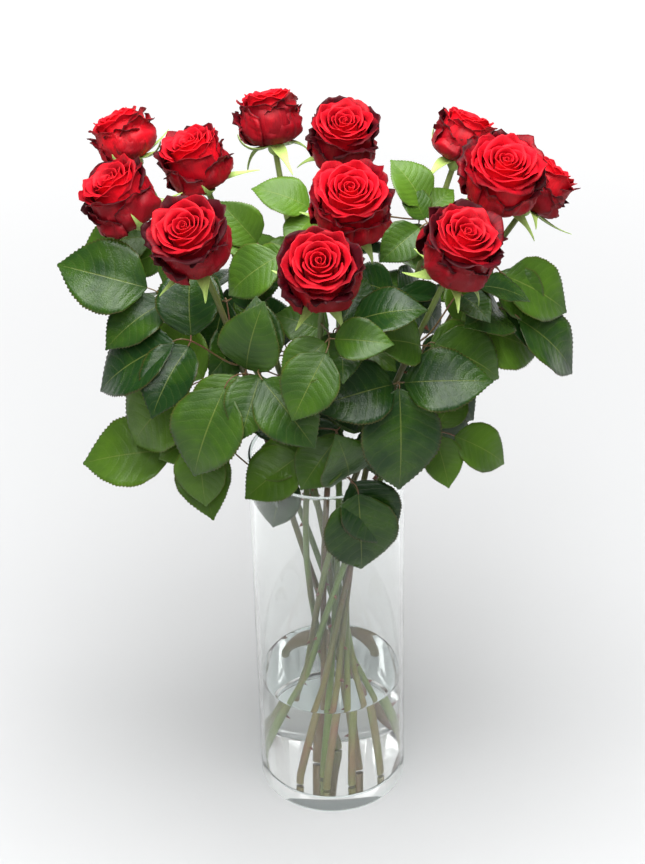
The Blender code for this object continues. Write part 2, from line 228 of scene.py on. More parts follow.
def new_line(kind, count):
    """A curve with one open spline of a kind, and its points to be set."""
    all_off()
    bpy.ops.curve.primitive_bezier_curve_add(location=(0, 0, 0))
    line = bpy.context.active_object
    line.data.splines.clear()
    spline = line.data.splines.new(kind)
    points = spline.bezier_points if kind == "BEZIER" else spline.points
    points.add(count - 1)
    return line, points


def tube_of(line, roundness):
    """The round solid along a curve, as thick at each point as that point's radius."""
    line.data.dimensions = "3D"
    line.data.bevel_depth = 1.0
    line.data.bevel_resolution = roundness
    line.data.resolution_u = 2
    line.data.use_fill_caps = True
    pick(line)
    bpy.ops.object.convert(target="MESH")
    tube = bpy.context.active_object
    tube.data.materials.clear()
    return tube


def copy_of(master, name):
    """A copy of a modelled piece, with its own mesh."""
    piece = master.copy()
    piece.data = master.data.copy()
    piece.name = name
    bpy.context.scene.collection.objects.link(piece)
    return piece


def joined(pieces, name):
    """Join pieces into one, with its place in its mesh."""
    pick(*pieces)
    if len(pieces) > 1:
        bpy.ops.object.join()
    bpy.ops.object.transform_apply(location=True, rotation=True, scale=True)
    piece = bpy.context.active_object
    piece.name = name
    piece.data.name = name
    return piece


def thicken(piece, thickness, back, offset=0.0):
    """Give a sheet its thickness; its back takes the material that many slots on."""
    pick(piece)
    wall = piece.modifiers.new("thickness", "SOLIDIFY")
    wall.thickness = thickness
    wall.offset = offset
    wall.use_even_offset = False
    wall.material_offset = back
    wall.material_offset_rim = 0
    bpy.ops.object.modifier_apply(modifier=wall.name)


def smooth(piece, degrees=50):
    """Shade smooth, with edges sharper than the angle kept."""
    pick(piece)
    bpy.ops.object.shade_smooth_by_angle(angle=math.radians(degrees))


def finished(piece, slot, *nodes):
    """The piece moves with the vase and stands for its CAD nodes, if it has any. The slot is not used."""
    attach(piece, "root")
    if nodes:
        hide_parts(*nodes)


def points_of(node):
    """All points of a CAD node, each corner once."""
    mesh = node.data
    flat = np.empty(len(mesh.vertices) * 3)
    mesh.vertices.foreach_get("co", flat)
    return flat.reshape(-1, 3)


def set_points(piece, points):
    """Put a mesh's points where the array says."""
    piece.data.vertices.foreach_set("co", np.ascontiguousarray(points, dtype=np.float32).ravel())
    piece.data.update()


def moved(points, placed):
    """Points carried by a 4 by 4 matrix."""
    return points @ placed[:3, :3].T + placed[:3, 3]


def dress(piece, finishes, which=0):
    """Give a piece a set of finishes, and all its faces one of them."""
    piece.data.materials.clear()
    for finish in finishes:
        piece.data.materials.append(finish)
    piece.data.polygons.foreach_set("material_index", [which] * len(piece.data.polygons))


def carry(piece, **values):
    """Put plain numbers on all the points of a piece."""
    for name, value in values.items():
        carried = piece.data.attributes.new(name, "FLOAT", "POINT")
        carried.data.foreach_set("value", np.full(len(piece.data.vertices), value, dtype=np.float32))


# ------------------------ material making

def node(tree, kind, **settings):
    """A new node with its settings."""
    made = tree.nodes.new(kind)
    for name, value in settings.items():
        setattr(made, name, value)
    return made


def feed(socket, source):
    """Link a socket to another one, or give it a plain value."""
    if isinstance(source, bpy.types.NodeSocket):
        socket.id_data.links.new(source, socket)
    elif isinstance(source, (tuple, list)) and len(source) == 3 and socket.type == "RGBA":
        socket.default_value = (*source, 1.0)
    else:
        socket.default_value = source


def maths(operation, *values):
    """The result of a maths node, placed where its first value comes from."""
    made = node(values[0].id_data, "ShaderNodeMath", operation=operation)
    for socket, value in zip(made.inputs, values):
        feed(socket, value)
    return made.outputs[0]


def plus(first, second):
    """Two values added."""
    return maths("ADD", first, second)


def times(first, second):
    """Two values multiplied."""
    return maths("MULTIPLY", first, second)


def between(value, low, high, start=0.0, end=1.0):
    """A value carried smoothly from one range into another."""
    made = node(value.id_data, "ShaderNodeMapRange", interpolation_type="SMOOTHSTEP")
    for name, given in (("Value", value), ("From Min", low), ("From Max", high),
                        ("To Min", start), ("To Max", end)):
        feed(made.inputs[name], given)
    return made.outputs["Result"]


def blend_colours(share, first, second):
    """Two colours mixed by a share."""
    made = node(share.id_data, "ShaderNodeMix", data_type="RGBA", blend_type="MIX")
    feed(made.inputs[0], share)
    feed(made.inputs[6], first)
    feed(made.inputs[7], second)
    return made.outputs[2]


def stretched(source, scale):
    """Coordinates scaled along each axis."""
    made = node(source.id_data, "ShaderNodeMapping")
    feed(made.inputs["Vector"], source)
    made.inputs["Scale"].default_value = scale
    return made.outputs["Vector"]


def cloud(source, scale, detail=3.0, roughness=0.5):
    """Soft random pattern."""
    made = node(source.id_data, "ShaderNodeTexNoise")
    feed(made.inputs["Vector"], source)
    made.inputs["Scale"].default_value = scale
    made.inputs["Detail"].default_value = detail
    made.inputs["Roughness"].default_value = roughness
    return made.outputs["Fac"]


def own_place(tree):
    """The piece's own coordinates in metres."""
    return node(tree, "ShaderNodeTexCoord").outputs["Object"]


def own_height(tree):
    """The height above the floor in metres."""
    parts = node(tree, "ShaderNodeSeparateXYZ")
    feed(parts.inputs[0], own_place(tree))
    return parts.outputs["Z"]


def own_sheet(tree):
    """A petal's or leaflet's own UV map, and its shares across and along."""
    sheet = node(tree, "ShaderNodeTexCoord").outputs["UV"]
    parts = node(tree, "ShaderNodeSeparateXYZ")
    feed(parts.inputs[0], sheet)
    return sheet, parts.outputs["X"], parts.outputs["Y"]


def own_value(tree, name):
    """A number carried on the piece's points."""
    made = node(tree, "ShaderNodeAttribute", attribute_type="GEOMETRY", attribute_name=name)
    return made.outputs["Fac"]


def new_group(name, inputs, outputs):
    """An empty node group with named sockets, and its input and output nodes."""
    kinds = {"float": "NodeSocketFloat", "colour": "NodeSocketColor"}
    group = bpy.data.node_groups.new(name, "ShaderNodeTree")
    for socket, (kind, value) in inputs.items():
        made = group.interface.new_socket(name=socket, in_out="INPUT", socket_type=kinds[kind])
        made.default_value = value if kind == "float" else (*value, 1.0)
    for socket, kind in outputs.items():
        group.interface.new_socket(name=socket, in_out="OUTPUT", socket_type=kinds[kind])
    return group, node(group, "NodeGroupInput"), node(group, "NodeGroupOutput")


def placed_group(tree, group, **values):
    """A group placed in a material with its own values."""
    made = node(tree, "ShaderNodeGroup", node_tree=group)
    for name, value in values.items():
        feed(made.inputs[name.replace("_", " ")], value)
    return made


def new_material(name, **plain):
    """A material with its shader's plain values set."""
    material = bpy.data.materials.new(name)
    material.use_nodes = True
    shader = material.node_tree.nodes["Principled BSDF"]
    for socket, value in plain.items():
        feed(shader.inputs[socket.replace("_", " ")], value)
    return material, material.node_tree, shader


def rough_surface(shader, height, strength, distance):
    """Bump from a height."""
    bump = node(shader.id_data, "ShaderNodeBump")
    bump.inputs["Strength"].default_value = strength
    bump.inputs["Distance"].default_value = distance
    feed(bump.inputs["Height"], height)
    feed(shader.inputs["Normal"], bump.outputs["Normal"])


# ------------------------ finishes

def petal_group():
    """Velvety petal: fine veins along it, blotches, and a rim that browns with age."""
    group, given, out = new_group(
        "petal velvet",
        {"Bright": ("colour", (0.62, 0.01, 0.03)), "Deep": ("colour", (0.20, 0.003, 0.012)),
         "Rim": ("colour", (0.92, 0.020, 0.035)), "Withered": ("colour", (0.030, 0.004, 0.005))},
        {"Colour": "colour", "Height": "float", "Rough": "float"})
    sheet, across, along = own_sheet(group)
    age = own_value(group, "age")
    shade = own_value(group, "shade")
    veins = cloud(stretched(sheet, (46.0, 2.2, 1.0)), 1.0, 4.0, 0.55)
    place = own_place(group)
    blotch = cloud(place, 55.0, 3.0)
    crumple = cloud(place, 240.0, 4.0, 0.6)

    # Outer petals are deeper red, and all of them in blotches and along the veins
    aged = between(age, 0.60, 1.06, 0.0, 0.92)
    depth = plus(aged, between(blotch, 0.35, 0.7, -0.08, 0.20))
    depth = plus(depth, times(shade, 0.16))
    depth = plus(depth, between(veins, 0.35, 0.75, -0.05, 0.12))
    depth = maths("MINIMUM", maths("MAXIMUM", depth, 0.0), 1.0)
    colour = blend_colours(depth, given.outputs["Bright"], given.outputs["Deep"])

    # Inner petals have a bright rim
    young = between(age, 0.55, 0.85, 0.35, 0.0)
    bright_rim = times(between(along, 0.965, 0.995), young)
    colour = blend_colours(bright_rim, colour, given.outputs["Rim"])

    # Outer petals wither unevenly from their rim inward
    rim = plus(along, times(maths("SUBTRACT", crumple, 0.5), 0.22))
    side = maths("ABSOLUTE", maths("SUBTRACT", across, 0.5))
    rim = maths("MAXIMUM", rim, plus(side, 0.46))
    withered = times(between(rim, 0.90, 1.0), between(age, 0.80, 1.08))
    colour = blend_colours(times(withered, 0.9), colour, given.outputs["Withered"])

    feed(out.inputs["Colour"], colour)
    height = plus(times(veins, 0.7), times(crumple, 0.3))
    feed(out.inputs["Height"], height)
    feed(out.inputs["Rough"], between(blotch, 0.3, 0.7, 0.46, 0.62))
    return group


def petal_material(name, group, bright, deep, sheen, shine):
    """Petal face or back."""
    material, tree, shader = new_material(
        name, Sheen_Weight=sheen, Sheen_Roughness=0.30, Sheen_Tint=(1.0, 0.10, 0.14),
        Specular_IOR_Level=shine)
    velvet = placed_group(tree, group, Bright=bright, Deep=deep)
    feed(shader.inputs["Base Color"], velvet.outputs["Colour"])
    feed(shader.inputs["Roughness"], velvet.outputs["Rough"])
    rough_surface(shader, velvet.outputs["Height"], 0.50, 0.0009)
    return material


def leaf_group():
    """Leaf blade: midrib, side veins that run forward to the teeth, and the net between them."""
    group, given, out = new_group(
        "leaf veins", {"Pairs": ("float", VEIN_PAIRS), "Net": ("float", 1.0)},
        {"Vein": "float", "Margin": "float", "Patch": "float", "Height": "float"})
    sheet, across, along = own_sheet(group)
    off = maths("ABSOLUTE", maths("SUBTRACT", times(across, 2.0), 1.0))
    place = own_place(group)
    patch = cloud(place, 38.0, 3.0)

    # Rows of side veins that run forward from the midrib and wander a little
    wander = times(maths("SUBTRACT", cloud(place, 150.0, 2.0), 0.5), 0.35)
    forward = times(maths("POWER", off, 1.25), 0.20)
    row = times(maths("SUBTRACT", along, forward), given.outputs["Pairs"])
    row = plus(row, wander)
    ridge = maths("PINGPONG", row, 0.5)
    side_vein = between(ridge, 0.02, 0.10, 1.0, 0.0)
    midrib = between(off, 0.006, 0.024, 1.0, 0.0)
    vein = maths("MAXIMUM", times(side_vein, 0.13), midrib)

    # The blade swells between its veins, with a fine net of cells on it
    net = node(group, "ShaderNodeTexVoronoi", feature="DISTANCE_TO_EDGE")
    feed(net.inputs["Vector"], stretched(sheet, (22.0, 34.0, 1.0)))
    net.inputs["Scale"].default_value = 1.0
    cells = between(net.outputs["Distance"], 0.0, 0.25)
    pillow = maths("POWER", times(ridge, 2.0), 0.6)
    fine = times(times(cells, 0.22), given.outputs["Net"])
    height = plus(times(pillow, 0.75), fine)
    height = maths("SUBTRACT", height, times(midrib, 0.6))

    feed(out.inputs["Vein"], vein)
    feed(out.inputs["Margin"], between(off, 0.93, 0.995))
    feed(out.inputs["Patch"], patch)
    feed(out.inputs["Height"], height)
    return group


def leaf_material(name, group, light, dark, vein_colour, rough, bump):
    """Top or underside of a leaf."""
    material, tree, shader = new_material(
        name, Specular_IOR_Level=0.24, Coat_Weight=0.04, Coat_Roughness=0.22)
    veins = placed_group(tree, group, Pairs=VEIN_PAIRS, Net=1.0)
    patch = veins.outputs["Patch"]
    tone_and_painted_shade = own_value(tree, "shade")
    share = plus(between(patch, 0.3, 0.7, 0.0, 0.30), times(tone_and_painted_shade, 0.92))
    share = maths("MINIMUM", share, 1.0)
    colour = blend_colours(share, light, dark)
    colour = blend_colours(times(veins.outputs["Vein"], 0.36), colour, vein_colour)
    margin = times(veins.outputs["Margin"], 0.3)
    colour = blend_colours(margin, colour, (0.12, 0.06, 0.02))
    feed(shader.inputs["Base Color"], colour)
    matt = between(patch, 0.3, 0.7, rough, rough + 0.14)
    feed(shader.inputs["Roughness"], maths("SUBTRACT", matt, times(tone_and_painted_shade, 0.10)))
    rough_surface(shader, veins.outputs["Height"], bump, 0.0012)
    return material


def stem_material(name, green, brown, lean_to_brown, pale=None):
    """Stem, stalk, thorn or sepal skin: green that turns brown in patches, with fine streaks.
    A stem is paler towards its bottom, below the water, and where it is young, at its top."""
    material, tree, shader = new_material(name, Specular_IOR_Level=0.45)
    place = own_place(tree)
    streak = cloud(stretched(place, (900.0, 900.0, 60.0)), 1.0, 3.0)
    patch = cloud(stretched(place, (26.0, 26.0, 9.0)), 1.0, 3.0)
    blush = own_value(tree, "shade")
    patched = between(patch, 0.44, 0.66, 0.0, 0.5)
    share = plus(patched, times(blush, lean_to_brown))
    share = maths("MINIMUM", share, 1.0)
    colour = blend_colours(share, green, brown)
    streaked = between(streak, 0.4, 0.7, 0.0, 0.35)
    colour = blend_colours(streaked, colour, tuple(0.55 * c for c in green))
    if pale:
        height = own_height(tree)
        below_water_pale = between(height, *BELOW_WATER_PALE, 0.70, 0.0)
        young = between(height, *YOUNG_STEM, 0.0, 0.65)
        colour = blend_colours(below_water_pale, colour, blend_colours(share, pale, (0.30, 0.12, 0.08)))
        colour = blend_colours(young, colour, pale)
    feed(shader.inputs["Base Color"], colour)
    feed(shader.inputs["Roughness"], between(streak, 0.3, 0.7, 0.36, 0.55))
    rough_surface(shader, streak, 0.25, 0.0004)
    return material


def clear_material(name, body, deep, depth, ior, ripple):
    """Clear glass or water, deeper in colour below a height, that lets the lamps' light through.
    A painted glow near the rim stands in for light that runs on inside the wall."""
    material, tree, shader = new_material(
        name, Transmission_Weight=1.0, IOR=ior, Roughness=0.0, Emission_Strength=1.0)
    height = own_height(tree)
    low_down = between(height, depth * 0.6, depth, 1.0, 0.0)
    feed(shader.inputs["Base Color"], blend_colours(low_down, body, deep))
    path = node(tree, "ShaderNodeLightPath")
    # Painted glow: rays that have passed more than three surfaces pick up a grey emission between two
    # heights near the rim, in place of light that runs inside the wall
    painted_glow_share = maths("GREATER_THAN", path.outputs["Ray Depth"], 3.5)
    painted_glow_share = times(painted_glow_share, between(height, *PAINTED_GLOW_HEIGHTS))
    glow = blend_colours(painted_glow_share, (0.0, 0.0, 0.0), PAINTED_RIM_GLOW)
    feed(shader.inputs["Emission Color"], glow)
    waves = cloud(stretched(own_place(tree), (14.0, 14.0, 5.0)), 1.0, 1.0)
    rough_surface(shader, waves, ripple, 0.001)
    clear = node(tree, "ShaderNodeBsdfTransparent")
    clear.inputs["Color"].default_value = (0.955, 0.965, 0.965, 1.0)
    mix = node(tree, "ShaderNodeMixShader")
    feed(mix.inputs[0], path.outputs["Is Shadow Ray"])
    feed(mix.inputs[1], shader.outputs[0])
    feed(mix.inputs[2], clear.outputs[0])
    feed(tree.nodes["Material Output"].inputs["Surface"], mix.outputs[0])
    return material


# ------------------------ vase and water

def pick_ring(piece, radius, height):
    """In edit mode, select the edges of one level ring."""
    bpy.ops.mesh.select_mode(type="EDGE")
    bpy.ops.mesh.select_all(action="DESELECT")
    bpy.ops.object.mode_set(mode="OBJECT")
    points = piece.data.vertices
    for edge in piece.data.edges:
        edge.select = all(math.dist((points[end].co.xy.length, points[end].co.z), (radius, height)) < 1e-5
                          for end in edge.vertices)
    bpy.ops.object.mode_set(mode="EDIT")


def pick_top_face(piece):
    """In edit mode, select the highest flat face."""
    bpy.ops.mesh.select_mode(type="FACE")
    bpy.ops.mesh.select_all(action="DESELECT")
    bpy.ops.object.mode_set(mode="OBJECT")
    up = [face for face in piece.data.polygons if face.normal.z > 0.99]
    top = max(up, key=lambda face: (round(face.center.z, 4), face.area))
    top.select = True
    bpy.ops.object.mode_set(mode="EDIT")


def hold_walls(*heights):
    """In edit mode, cut the shape level at these heights, so that its straight walls shade straight."""
    for height in heights:
        bpy.ops.mesh.select_all(action="SELECT")
        bpy.ops.mesh.bisect(plane_co=(0, 0, height), plane_no=(0, 0, 1))


def round_block(radius, bottom, top):
    """A round block between two heights, left in edit mode to be shaped."""
    all_off()
    bpy.ops.mesh.primitive_cylinder_add(vertices=VASE_SIDES, radius=radius, depth=top - bottom,
                                        location=(0, 0, (bottom + top) / 2))
    block = bpy.context.active_object
    bpy.ops.object.transform_apply(location=True)
    bpy.ops.object.mode_set(mode="EDIT")
    return block


def vase(glass):
    """Straight glass cylinder with a thick floor, a rounded rim and a rounded inner corner."""
    low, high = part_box("vase")
    outer, height = (high[0] - low[0]) / 2, high[2]
    inner = outer - VASE_WALL
    piece = round_block(outer, 0.0, height)
    pick_top_face(piece)
    bpy.ops.mesh.inset(thickness=VASE_WALL)
    bpy.ops.mesh.extrude_region_move(TRANSFORM_OT_translate={"value": (0, 0, VASE_FLOOR - height)})
    pick_ring(piece, inner, VASE_FLOOR)
    bpy.ops.mesh.bevel(offset=VASE_CORNER, segments=6, affect="EDGES")
    for radius, level, round_off in ((inner, height, VASE_EDGE), (outer, height, VASE_EDGE),
                                     (outer, 0.0, VASE_EDGE * 1.4)):
        pick_ring(piece, radius, level)
        bpy.ops.mesh.bevel(offset=round_off, segments=4, affect="EDGES")
    hold_walls(VASE_EDGE * 1.8, VASE_FLOOR + VASE_CORNER * 1.1, height - VASE_EDGE * 1.3)
    bpy.ops.object.mode_set(mode="OBJECT")
    piece.data.materials.append(glass)
    piece = joined([piece], "glass_vase")
    smooth(piece)
    finished(piece, "vase_glass", "vase")


def water(clear):
    """Water that fills the vase to its level, drawn up a little where it meets the glass."""
    low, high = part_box("vase")
    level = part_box("water")[1][2]
    inside = (high[0] - low[0]) / 2 - VASE_WALL - WATER_GAP
    bottom = VASE_FLOOR + WATER_GAP
    piece = round_block(inside, bottom, level + WATER_CLIMB)
    pick_ring(piece, inside, bottom)
    bpy.ops.mesh.bevel(offset=VASE_CORNER, segments=6, affect="EDGES")
    pick_top_face(piece)
    for across, down in WATER_EDGE:
        bpy.ops.mesh.inset(thickness=across, depth=-down)
    hold_walls(bottom + VASE_CORNER * 1.1)
    bpy.ops.object.mode_set(mode="OBJECT")
    piece.data.materials.append(clear)
    piece = joined([piece], "vase_water")
    smooth(piece, degrees=60)
    finished(piece, "water_clear", "water")


# ------------------------ blooms

def bloom_place(rose):
    """Base, axis, height and radius of a CAD bloom, from its own points."""
    points = np.unique(points_of(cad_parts["bloom_" + rose]).round(6), axis=0)
    middle = points.mean(axis=0)
    values, lines = np.linalg.eigh(np.cov((points - middle).T))
    axis = lines[:, np.argmax(values)]
    axis = axis if axis[2] > 0 else -axis
    rise = (points - middle) @ axis
    out = np.linalg.norm((points - middle) - np.outer(rise, axis), axis=1)
    base = Vector(middle + axis * rise.min())
    return base, Vector(axis), float(rise.max() - rise.min()), float(out.max())


def dents(points, wavelength, chance):
    """A soft uneven field, between about -1 and 1, that gives petals their dents and creases."""
    total = np.zeros(len(points))
    for _ in range(5):
        way = np.array([chance.uniform(-1, 1) for _ in range(3)])
        way *= 2 * math.pi / wavelength * chance.uniform(0.6, 1.5) / np.linalg.norm(way)
        total += 1 - 2 * np.abs(np.sin(points @ way + chance.uniform(0, WHOLE_TURN)))
    return total / 3


def petal_points(flat, number, radius, height, openness, chance, hang=None):
    """Shape one petal: a claw at the base, a cupped wall and a lip that rolls outward.
    Those past the last of PETALS are guard petals: short, loose and crumpled. One may hang,
    at its own turn. In the lines below u is the share across, v along and t how far out it is."""
    u = flat[:, 0]
    v = (flat[:, 1] + 1) / 2
    t = min(number / (PETALS - 1), 1.0)
    guard = max(number - PETALS + 1, 0)
    ring = radius * (0.050 + 0.78 * t ** 0.90)
    top = height * (0.91 + 0.12 * t - 0.26 * t ** 2.2 + chance.uniform(-0.03, 0.03) * t)
    half = math.radians(62 + 95 * math.exp(-number / 2.6)) * chance.uniform(0.9, 1.1)
    lip = 0.0019 + 0.0090 * t ** 0.85 * openness
    roll = math.radians(40 + 95 * t ** 0.8 * openness) * chance.uniform(0.75, 1.25)
    turn = number * PETAL_TURN + chance.uniform(-0.18, 0.18)
    point = chance.uniform(0.08, 0.24) * min(t * 2.5, 1.0)
    if guard:
        ring = radius * chance.uniform(0.84, 0.93)
        top = height * chance.uniform(0.44, 0.74)
        half = math.radians(chance.uniform(36, 54))
        lip = chance.uniform(0.009, 0.015)
        roll = math.radians(chance.uniform(60, 160))
    if hang is not None:
        turn, ring, top, half = hang, radius * 0.78, height * 0.34, math.radians(40)
        lip, roll = 0.024, math.radians(95)

    # The wall: a curve from the base outward and up, from radius and height at four control points
    side = np.abs(u)
    reach = v * (1 - 0.24 * side ** 2.6) + 0.04 * v ** 3 * np.exp(-(u / 0.13) ** 2)
    wall_share = 0.60
    w = np.clip(reach / wall_share, 0, 1)
    wall_top = top - lip * 0.40
    r_line = (0.0022 + 0.10 * ring, ring * 1.02 + 0.001, ring * (1.05 + 0.10 * t), ring)
    z_line = (0.0, 0.02 * height, wall_top * 0.50, wall_top)
    share = ((1 - w) ** 3, 3 * (1 - w) ** 2 * w, 3 * (1 - w) * w ** 2, w ** 3)
    r = sum(a * b for a, b in zip(r_line, share))
    z = sum(a * b for a, b in zip(z_line, share))

    # The lip: an arc that carries on from the wall and rolls outward, more at its sides
    s = np.clip((reach - wall_share) / (1 - wall_share), 0, None) * lip
    start = math.atan2(z_line[3] - z_line[2], r_line[3] - r_line[2])
    curl = roll / lip * (0.40 + 1.30 * side ** 1.4)
    r = r + (np.sin(start) - np.sin(start - curl * s)) / curl
    z = z + (np.cos(start - curl * s) - np.cos(start)) / curl

    # Each petal starts a little inside the one before, and its lip is pointed, with sides that sag
    lipness = np.clip((reach - 0.40) / 0.60, 0, 1)
    r = r + 0.0014 * (0.4 + t) * u
    r = r * (1 + point * (1 - side) ** 1.8 * lipness ** 1.4)
    z = z - (0.0015 + 0.0060 * t) * side ** 2.2 * lipness + 0.0012 * t * (1 - side) ** 3 * lipness

    # Wrapped round the axis, narrow at the base, then dented and fluttered
    claw = 0.42 + 0.58 * np.sin(np.clip(v / 0.55, 0, 1) * math.pi / 2)
    angle = turn + half * u * claw
    points = np.stack((r * np.cos(angle), r * np.sin(angle), z), axis=1)
    away = np.stack((np.cos(angle), np.sin(angle), 0.3 * np.ones_like(angle)), axis=1)
    loose = (0.0002 + 0.0010 * t ** 1.6) * (0.25 + lipness ** 1.2) + 0.0009 * max(t - 0.6, 0) / 0.4
    if guard:
        loose = 0.0017 + 0.0030 * lipness
    points += away * (loose * dents(points, 0.030, chance))[:, None]
    points += away * (0.42 * loose * dents(points, 0.011, chance))[:, None]
    points[:, 2] += 0.30 * loose * dents(points, 0.014, chance)
    ripple = np.sin((5 + 5 * t) * u + chance.uniform(0, WHOLE_TURN))
    points[:, 2] += (0.0003 + 0.0009 * t) * lipness ** 3 * ripple
    return points


def bloom(rose, blank, finishes, openness, seed):
    """A bloom: petals set round its axis at the flower's own turn, from the bud outward."""
    base, axis, height, radius = bloom_place(rose)
    chance = random.Random(seed)
    placed = np.array(Matrix.Translation(base) @ axis.to_track_quat("Z", "Y").to_matrix().to_4x4()
                      @ Matrix.Rotation(chance.uniform(0, WHOLE_TURN), 4, "Z"))
    flat = points_of(blank)
    petals = []
    for number in range(PETALS + GUARDS):
        petal = copy_of(blank, "petal")
        hang = None
        if rose in HANGING and number == PETALS + GUARDS - 1:
            way = np.array(HANGING[rose]) @ placed[:3, :3]
            hang = math.atan2(way[1], way[0])
        points = petal_points(flat, number, radius, height, openness, chance, hang)
        set_points(petal, moved(points, placed))
        shade = chance.uniform(0, 1) + BLOOM_DEPTH.get(rose, 0.5)
        carry(petal, age=number / (PETALS - 1), shade=shade)
        petals.append(petal)
    piece = joined(petals, "rose_bloom_" + rose)
    dress(piece, finishes)
    thicken(piece, PETAL_THICKNESS, 1)
    piece.data.shade_smooth()
    finished(piece, "petal_red", "bloom_" + rose)


# ------------------------ stems

def stem_centres(rose, neck):
    """Centres of a CAD stem at level cuts, from the foot up to the neck."""
    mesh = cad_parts["stem_" + rose].data
    points = points_of(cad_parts["stem_" + rose])
    ends = np.empty(len(mesh.edges) * 2, dtype=int)
    mesh.edges.foreach_get("vertices", ends)
    first, second = points[ends.reshape(-1, 2)[:, 0]], points[ends.reshape(-1, 2)[:, 1]]
    centres = []
    height = points[:, 2].min() + 0.0005
    while height < neck.z - 0.004:
        cross = (first[:, 2] - height) * (second[:, 2] - height) < 0
        a, b = first[cross], second[cross]
        cut = a + (b - a) * ((height - a[:, 2]) / (b[:, 2] - a[:, 2]))[:, None]
        if len(centres) > 1:
            ahead = 2 * centres[-1] - centres[-2]
            cut = cut[np.linalg.norm(cut[:, :2] - ahead[:2], axis=1) < 0.008]
        centre = (cut.min(axis=0) + cut.max(axis=0)) / 2
        centres.append(centre)
        height += STEM_STEP
    centres.append(np.array(neck))
    return np.array(centres)


def stem_at(centres, height):
    """The point of a stem at a height."""
    return Vector((np.interp(height, centres[:, 2], centres[:, 0]),
                   np.interp(height, centres[:, 2], centres[:, 1]), height))


def sepal_points(flat, number, chance):
    """Shape one long narrow sepal: out of the cup and down, curling at its tip. One stands up."""
    u = flat[:, 0]
    v = (flat[:, 1] + 1) / 2
    upright = number == 0
    belly = 0.85 + 0.5 * np.sin(math.pi * np.clip(v * 1.5, 0, 1))
    half = 0.0060 * (1 - v) ** 0.8 * belly + 0.00025
    reach = chance.uniform(0.036, 0.048)
    rise = chance.uniform(-0.25, 0.10) if not upright else -0.10
    fall = chance.uniform(-0.9, 1.7) if not upright else -1.7
    s = v * reach
    slope = rise - fall * v ** 1.3 + chance.uniform(-0.2, 0.2)
    order = np.argsort(v)
    steps = np.diff(np.concatenate(([0.0], s[order])))
    out = np.empty_like(v)
    up = np.empty_like(v)
    out[order] = 0.0070 + np.cumsum(np.cos(slope[order]) * steps)
    up[order] = CUP_HEIGHT - 0.0018 + np.cumsum(np.sin(slope[order]) * steps)
    fold = 0.35 * np.abs(u) * half
    sway = chance.uniform(-0.005, 0.005) * v ** 2
    angle = 2 * math.pi * (number + 0.25) / SEPALS + chance.uniform(-0.1, 0.1)
    across = u * half + sway
    out_line = np.array((math.cos(angle), math.sin(angle), 0.0))
    side_line = np.array((-math.sin(angle), math.cos(angle), 0.0))
    points = out[:, None] * out_line + across[:, None] * side_line
    points[:, 2] += up + fold
    return points


def thorn_master():
    """One hooked thorn, base at the origin, pointing along +X."""
    all_off()
    bpy.ops.mesh.primitive_cone_add(vertices=6, radius1=0.0017, depth=0.0055,
                                    rotation=(0, math.pi / 2, 0), location=(0.0022, 0, 0))
    thorn = bpy.context.active_object
    bpy.ops.object.transform_apply(location=True, rotation=True)
    bpy.ops.object.mode_set(mode="EDIT")
    bpy.ops.mesh.select_all(action="SELECT")
    bpy.ops.mesh.subdivide(number_cuts=1)
    bpy.ops.object.mode_set(mode="OBJECT")
    points = points_of(thorn)
    tip = np.clip(points[:, 0] / 0.005, 0, 1)
    points[:, 2] = points[:, 2] * 1.8 - 0.0016 * tip ** 2
    set_points(thorn, points)
    thorn.name = "thorn_master"
    return thorn


def stem_shaft(centres, joints):
    """The tapering stem along its centres, swollen a little at each leaf's joint."""
    line, points = new_line("BEZIER", STEM_POINTS)
    for point, place in zip(points, np.linspace(0, len(centres) - 1, STEM_POINTS)):
        low = min(int(place), len(centres) - 2)
        co = centres[low] + (centres[low + 1] - centres[low]) * (place - low)
        point.co = co
        point.handle_left_type = point.handle_right_type = "AUTO"
        swell = sum(math.exp(-((co[2] - joint) / 0.0035) ** 2) for joint in joints)
        taper = FOOT_RADIUS + (NECK_RADIUS - FOOT_RADIUS) * place / (len(centres) - 1)
        point.radius = taper * (1 + 0.32 * swell)
    return tube_of(line, 3)


def green_cup():
    """The cup under a bloom, up from its neck at the origin."""
    all_off()
    bpy.ops.mesh.primitive_circle_add(vertices=20, radius=NECK_RADIUS, fill_type="NOTHING")
    cup = bpy.context.active_object
    bpy.ops.object.mode_set(mode="EDIT")
    bpy.ops.mesh.select_mode(type="VERT")
    bpy.ops.mesh.select_all(action="SELECT")
    for rise, wide in CUP_RINGS:
        bpy.ops.mesh.extrude_region_move(TRANSFORM_OT_translate={"value": (0, 0, rise)})
        bpy.ops.transform.resize(value=(wide, wide, 1.0))
    bpy.ops.mesh.edge_face_add()
    bpy.ops.object.mode_set(mode="OBJECT")
    return cup


def stem_sepals(master, placed, chance):
    """The five sepals round a cup, thickened."""
    flat = points_of(master)
    sepals = []
    for number in range(SEPALS):
        sepal = copy_of(master, "sepal")
        set_points(sepal, moved(sepal_points(flat, number, chance), placed))
        sepals.append(sepal)
    green = joined(sepals, "sepals")
    thicken(green, SEPAL_THICKNESS, 0)
    return green


